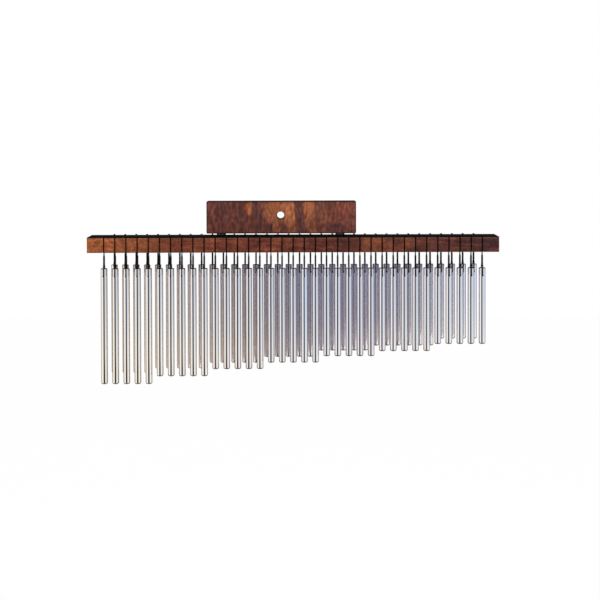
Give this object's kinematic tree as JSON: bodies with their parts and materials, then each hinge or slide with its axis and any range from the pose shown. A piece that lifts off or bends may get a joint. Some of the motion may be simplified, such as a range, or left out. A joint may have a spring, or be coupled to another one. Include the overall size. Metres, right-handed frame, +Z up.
{
  "type": "bar chimes",
  "caption": "Rows of polished metal bars in graded lengths, hung on cord loops under a wooden mantle, with a drilled plate above to hang it from a stand.",
  "frame": {"origin": "centre of the hanging hole, at half the plate's thickness", "axes": "+Z up, -Y towards the front, +X to the right as seen from the front"},
  "size_m": [0.5878, 0.045, 0.2599],
  "materials": {
    "mantle_wood": "oiled hardwood, satin, grain along the length",
    "plate_wood": "oiled figured hardwood, satin",
    "black_strip": "matt black strip",
    "black_cord": "black braided cord",
    "polished_bar": "polished, nearly mirror bright",
    "dark_steel": "blackened steel"
  },
  "bodies": {
    "mantle_body": {"mantle": "mantle_wood", "top_strip": "black_strip", "mounting_plate": "plate_wood", "plate_collars": "dark_steel", "plate_studs": "dark_steel", "front_knots": "black_cord", "back_knots": "black_cord"},
    "front_set_1": {"front_bars_1": "polished_bar", "front_cords_1": "black_cord"},
    "front_set_2": {"front_bars_2": "polished_bar", "front_cords_2": "black_cord"},
    "front_set_3": {"front_bars_3": "polished_bar", "front_cords_3": "black_cord"},
    "front_set_4": {"front_bars_4": "polished_bar", "front_cords_4": "black_cord"},
    "front_set_5": {"front_bars_5": "polished_bar", "front_cords_5": "black_cord"},
    "front_set_6": {"front_bars_6": "polished_bar", "front_cords_6": "black_cord"},
    "front_set_7": {"front_bars_7": "polished_bar", "front_cords_7": "black_cord"},
    "back_set_1": {"back_bars_1": "polished_bar", "back_cords_1": "black_cord"},
    "back_set_2": {"back_bars_2": "polished_bar", "back_cords_2": "black_cord"},
    "back_set_3": {"back_bars_3": "polished_bar", "back_cords_3": "black_cord"},
    "back_set_4": {"back_bars_4": "polished_bar", "back_cords_4": "black_cord"},
    "back_set_5": {"back_bars_5": "polished_bar", "back_cords_5": "black_cord"},
    "back_set_6": {"back_bars_6": "polished_bar", "back_cords_6": "black_cord"},
    "back_set_7": {"back_bars_7": "polished_bar", "back_cords_7": "black_cord"}
  },
  "joints": [
    {"name": "front_swing_1", "type": "hinge", "parent": "mantle_body", "child": "front_set_1", "pos_m": [-0.22012, -0.0161, -0.0521], "axis": [-1, 0, 0], "range_deg": [-6, 60]},
    {"name": "front_swing_2", "type": "hinge", "parent": "mantle_body", "child": "front_set_2", "pos_m": [-0.14075, -0.0161, -0.0521], "axis": [-1, 0, 0], "range_deg": [-6, 60]},
    {"name": "front_swing_3", "type": "hinge", "parent": "mantle_body", "child": "front_set_3", "pos_m": [-0.06137, -0.0161, -0.0521], "axis": [-1, 0, 0], "range_deg": [-6, 60]},
    {"name": "front_swing_4", "type": "hinge", "parent": "mantle_body", "child": "front_set_4", "pos_m": [0.018, -0.0161, -0.0521], "axis": [-1, 0, 0], "range_deg": [-6, 60]},
    {"name": "front_swing_5", "type": "hinge", "parent": "mantle_body", "child": "front_set_5", "pos_m": [0.09738, -0.0161, -0.0521], "axis": [-1, 0, 0], "range_deg": [-6, 60]},
    {"name": "front_swing_6", "type": "hinge", "parent": "mantle_body", "child": "front_set_6", "pos_m": [0.17675, -0.0161, -0.0521], "axis": [-1, 0, 0], "range_deg": [-6, 60]},
    {"name": "front_swing_7", "type": "hinge", "parent": "mantle_body", "child": "front_set_7", "pos_m": [0.25612, -0.0161, -0.0521], "axis": [-1, 0, 0], "range_deg": [-6, 60]},
    {"name": "back_swing_1", "type": "hinge", "parent": "mantle_body", "child": "back_set_1", "pos_m": [-0.21882, 0.0161, -0.0521], "axis": [-1, 0, 0], "range_deg": [-60, 6]},
    {"name": "back_swing_2", "type": "hinge", "parent": "mantle_body", "child": "back_set_2", "pos_m": [-0.14739, 0.0161, -0.0521], "axis": [-1, 0, 0], "range_deg": [-60, 6]},
    {"name": "back_swing_3", "type": "hinge", "parent": "mantle_body", "child": "back_set_3", "pos_m": [-0.06801, 0.0161, -0.0521], "axis": [-1, 0, 0], "range_deg": [-60, 6]},
    {"name": "back_swing_4", "type": "hinge", "parent": "mantle_body", "child": "back_set_4", "pos_m": [0.01136, 0.0161, -0.0521], "axis": [-1, 0, 0], "range_deg": [-60, 6]},
    {"name": "back_swing_5", "type": "hinge", "parent": "mantle_body", "child": "back_set_5", "pos_m": [0.09074, 0.0161, -0.0521], "axis": [-1, 0, 0], "range_deg": [-60, 6]},
    {"name": "back_swing_6", "type": "hinge", "parent": "mantle_body", "child": "back_set_6", "pos_m": [0.17805, 0.0161, -0.0521], "axis": [-1, 0, 0], "range_deg": [-60, 6]},
    {"name": "back_swing_7", "type": "hinge", "parent": "mantle_body", "child": "back_set_7", "pos_m": [0.25743, 0.0161, -0.0521], "axis": [-1, 0, 0], "range_deg": [-60, 6]}
  ]
}
